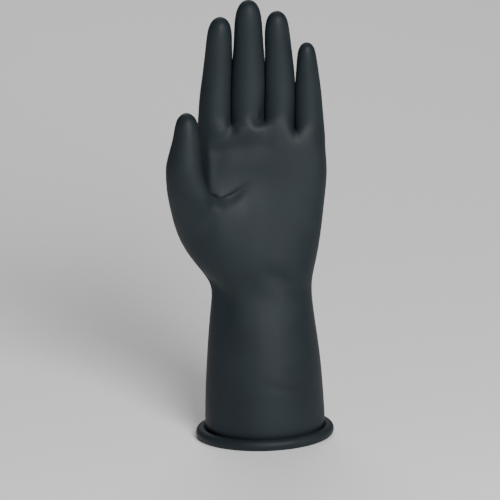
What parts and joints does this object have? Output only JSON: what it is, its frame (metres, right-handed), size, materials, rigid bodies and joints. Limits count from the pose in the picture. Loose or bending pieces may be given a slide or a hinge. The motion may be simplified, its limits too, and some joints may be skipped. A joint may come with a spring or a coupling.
{
  "type": "electrical insulating glove",
  "caption": "Left-hand rubber electrical insulating glove with separate finger and thumb stalls, a flared cuff and a rolled rim; hollow, open at the cuff.",
  "frame": {"origin": "on the ground under the middle of the glove's outline, with the glove standing on its rolled rim", "axes": "+Z from the rim to the fingertips, -Y out of the palm, +Y out of the back of the hand, -X to the thumb's side"},
  "size_m": [0.0996, 0.0786, 0.2804],
  "materials": {
    "rubber": "matte",
    "flexing_rubber": "matte"
  },
  "bodies": {
    "cuff": {"cuff": "rubber", "cuff_bead": "rubber", "wrist_flex": "flexing_rubber"},
    "hand": {"palm": "rubber", "thumb_base_flex": "flexing_rubber", "index_base_flex": "flexing_rubber", "middle_base_flex": "flexing_rubber", "ring_base_flex": "flexing_rubber", "little_base_flex": "flexing_rubber"},
    "index_lower": {"index_lower_stall": "rubber", "index_mid_flex": "flexing_rubber"},
    "index_middle": {"index_middle_stall": "rubber", "index_end_flex": "flexing_rubber"},
    "index_tip": {"index_tip_stall": "rubber"},
    "middle_lower": {"middle_lower_stall": "rubber", "middle_mid_flex": "flexing_rubber"},
    "middle_middle": {"middle_middle_stall": "rubber", "middle_end_flex": "flexing_rubber"},
    "middle_tip": {"middle_tip_stall": "rubber"},
    "ring_lower": {"ring_lower_stall": "rubber", "ring_mid_flex": "flexing_rubber"},
    "ring_middle": {"ring_middle_stall": "rubber", "ring_end_flex": "flexing_rubber"},
    "ring_tip": {"ring_tip_stall": "rubber"},
    "little_lower": {"little_lower_stall": "rubber", "little_mid_flex": "flexing_rubber"},
    "little_middle": {"little_middle_stall": "rubber", "little_end_flex": "flexing_rubber"},
    "little_tip": {"little_tip_stall": "rubber"},
    "thumb_lower": {"thumb_lower_stall": "rubber", "thumb_end_flex": "flexing_rubber"},
    "thumb_tip": {"thumb_tip_stall": "rubber"}
  },
  "joints": [
    {"name": "wrist", "type": "hinge", "parent": "cuff", "child": "hand", "pos_m": [0.00656, 0, 0.098], "axis": [1, 0, 0], "range_deg": [-40, 40], "stiffness_Nm_per_rad": 1, "deforming": ["wrist_flex"]},
    {"name": "index_base", "type": "hinge", "parent": "hand", "child": "index_lower", "pos_m": [-0.01804, -0.0012, 0.2115], "axis": [1, 0, 0], "range_deg": [-15, 75], "stiffness_Nm_per_rad": 0.12, "deforming": ["index_base_flex"]},
    {"name": "index_mid", "type": "hinge", "parent": "index_lower", "child": "index_middle", "pos_m": [-0.01614, -0.0015, 0.233], "axis": [1, 0, 0], "range_deg": [0, 80], "stiffness_Nm_per_rad": 0.1, "deforming": ["index_mid_flex"]},
    {"name": "index_end", "type": "hinge", "parent": "index_middle", "child": "index_tip", "pos_m": [-0.01444, -0.0029, 0.254], "axis": [1, 0, 0], "range_deg": [0, 45], "stiffness_Nm_per_rad": 0.08, "deforming": ["index_end_flex"]},
    {"name": "middle_base", "type": "hinge", "parent": "hand", "child": "middle_lower", "pos_m": [0.00316, -0.0012, 0.2123], "axis": [1, 0, 0], "range_deg": [-15, 75], "stiffness_Nm_per_rad": 0.12, "deforming": ["middle_base_flex"]},
    {"name": "middle_mid", "type": "hinge", "parent": "middle_lower", "child": "middle_middle", "pos_m": [0.00376, -0.0015, 0.2345], "axis": [1, 0, 0], "range_deg": [0, 80], "stiffness_Nm_per_rad": 0.1, "deforming": ["middle_mid_flex"]},
    {"name": "middle_end", "type": "hinge", "parent": "middle_middle", "child": "middle_tip", "pos_m": [0.00416, -0.0029, 0.259], "axis": [1, 0, 0], "range_deg": [0, 45], "stiffness_Nm_per_rad": 0.08, "deforming": ["middle_end_flex"]},
    {"name": "ring_base", "type": "hinge", "parent": "hand", "child": "ring_lower", "pos_m": [0.02256, -0.0008, 0.212], "axis": [1, 0, 0], "range_deg": [-15, 75], "stiffness_Nm_per_rad": 0.12, "deforming": ["ring_base_flex"]},
    {"name": "ring_mid", "type": "hinge", "parent": "ring_lower", "child": "ring_middle", "pos_m": [0.02246, -0.0012, 0.2325], "axis": [1, 0, 0], "range_deg": [0, 80], "stiffness_Nm_per_rad": 0.1, "deforming": ["ring_mid_flex"]},
    {"name": "ring_end", "type": "hinge", "parent": "ring_middle", "child": "ring_tip", "pos_m": [0.02176, -0.0027, 0.254], "axis": [1, 0, 0], "range_deg": [0, 45], "stiffness_Nm_per_rad": 0.08, "deforming": ["ring_end_flex"]},
    {"name": "little_base", "type": "hinge", "parent": "hand", "child": "little_lower", "pos_m": [0.04046, 0.0003, 0.2049], "axis": [1, 0, 0], "range_deg": [-15, 75], "stiffness_Nm_per_rad": 0.12, "deforming": ["little_base_flex"]},
    {"name": "little_mid", "type": "hinge", "parent": "little_lower", "child": "little_middle", "pos_m": [0.04016, -0.0005, 0.2212], "axis": [1, 0, 0], "range_deg": [0, 80], "stiffness_Nm_per_rad": 0.1, "deforming": ["little_mid_flex"]},
    {"name": "little_end", "type": "hinge", "parent": "little_middle", "child": "little_tip", "pos_m": [0.03996, -0.0018, 0.237], "axis": [1, 0, 0], "range_deg": [0, 45], "stiffness_Nm_per_rad": 0.08, "deforming": ["little_end_flex"]},
    {"name": "thumb_base", "type": "hinge", "parent": "hand", "child": "thumb_lower", "pos_m": [-0.03764, -0.0224, 0.168], "axis": [0.9857, -0.0315, 0.1655], "range_deg": [0, 45], "stiffness_Nm_per_rad": 0.25, "deforming": ["thumb_base_flex"]},
    {"name": "thumb_end", "type": "hinge", "parent": "thumb_lower", "child": "thumb_tip", "pos_m": [-0.03734, -0.0248, 0.19], "axis": [0.4708, 0.8814, -0.0377], "range_deg": [0, 50], "stiffness_Nm_per_rad": 0.12, "deforming": ["thumb_end_flex"]}
  ]
}
